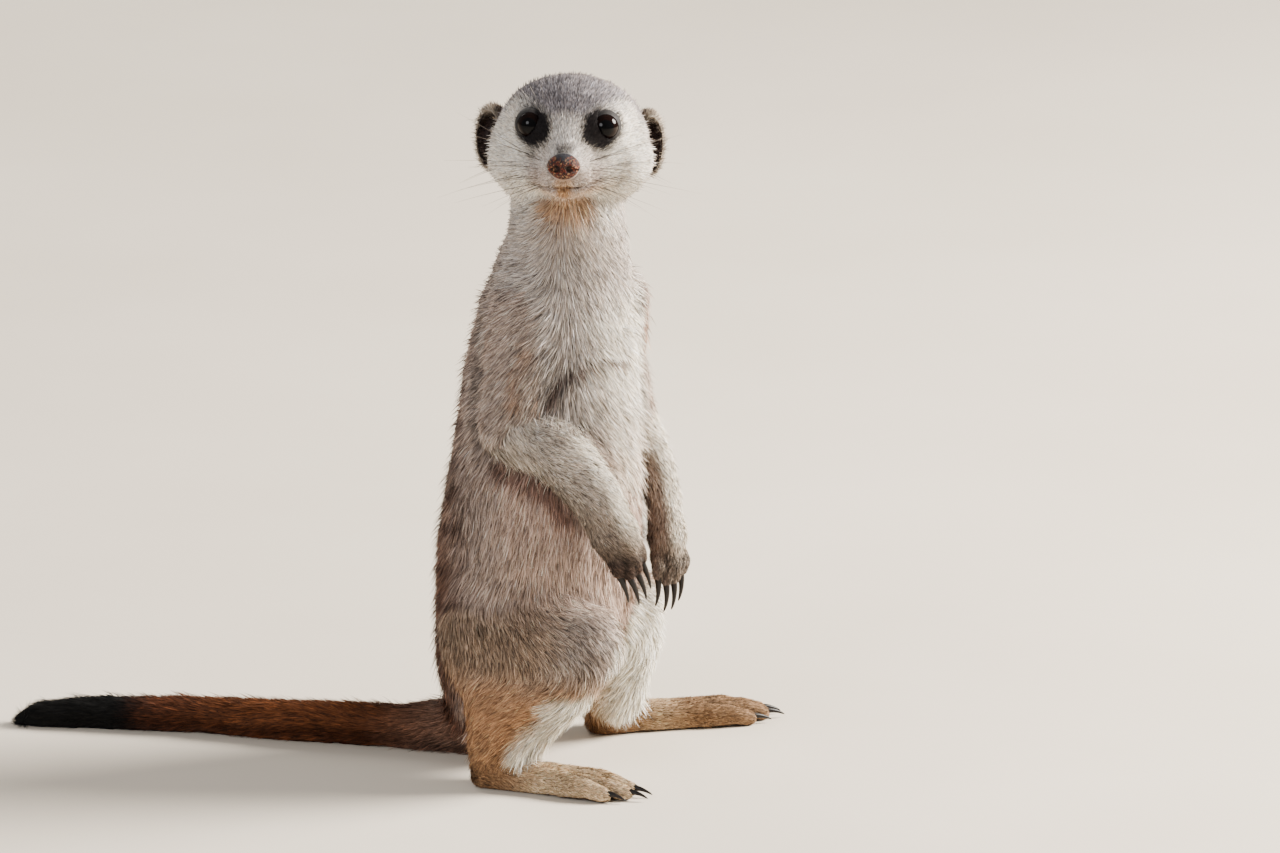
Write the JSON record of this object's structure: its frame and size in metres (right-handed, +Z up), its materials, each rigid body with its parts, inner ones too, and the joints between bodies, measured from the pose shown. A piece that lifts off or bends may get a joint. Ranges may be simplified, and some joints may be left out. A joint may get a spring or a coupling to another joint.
{
  "type": "meerkat",
  "caption": "Meerkat sitting upright on its haunches, forepaws hanging before the belly, head turned to the side, slim tail laid straight behind on the ground.",
  "frame": {"origin": "middle of the box round the animal, at the height of the floor it sits on", "axes": "+X the way the hind feet point, opposite to the tail; -Y the way the face looks, towards the camera of the picture; +Z up"},
  "size_m": [0.2968, 0.1268, 0.2702],
  "materials": {
    "coat": "short dense fur, grizzled grey-tan with paler sides and dark bands over the back",
    "face_coat": "very short soft fur, whitish grey",
    "paw_coat": "short fur, grey-brown",
    "tail_coat": "short fur, ochre brown",
    "tail_tip_coat": "short fur, blackish",
    "ear_coat": "very short fur over thin skin, blackish",
    "claw": "smooth horn",
    "nose_leather": "grained moist leather with dry reddish sand",
    "eye": "wet gloss"
  },
  "bodies": {
    "root": {"claw_fore_left_1": "claw", "claw_fore_left_2": "claw", "claw_fore_left_3": "claw", "claw_fore_left_4": "claw", "claw_fore_right_1": "claw", "claw_fore_right_2": "claw", "claw_fore_right_3": "claw", "claw_fore_right_4": "claw", "claw_hind_left_1": "claw", "claw_hind_left_2": "claw", "claw_hind_left_3": "claw", "claw_hind_left_4": "claw", "claw_hind_right_1": "claw", "claw_hind_right_2": "claw", "claw_hind_right_3": "claw", "claw_hind_right_4": "claw", "ear_left": "ear_coat", "ear_right": "ear_coat", "eye_left": "eye", "eye_right": "eye", "foot_left": "paw_coat", "foot_right": "paw_coat", "forearm_left": "coat", "forearm_right": "coat", "forepaw_left": "paw_coat", "forepaw_right": "paw_coat", "head": "face_coat", "neck": "face_coat", "nose": "nose_leather", "shank_left": "coat", "shank_right": "coat", "tail_base": "tail_coat", "tail_middle": "tail_coat", "tail_tip": "tail_tip_coat", "thigh_left": "coat", "thigh_right": "coat", "trunk": "coat", "upper_arm_left": "coat", "upper_arm_right": "coat"}
  },
  "joints": []
}
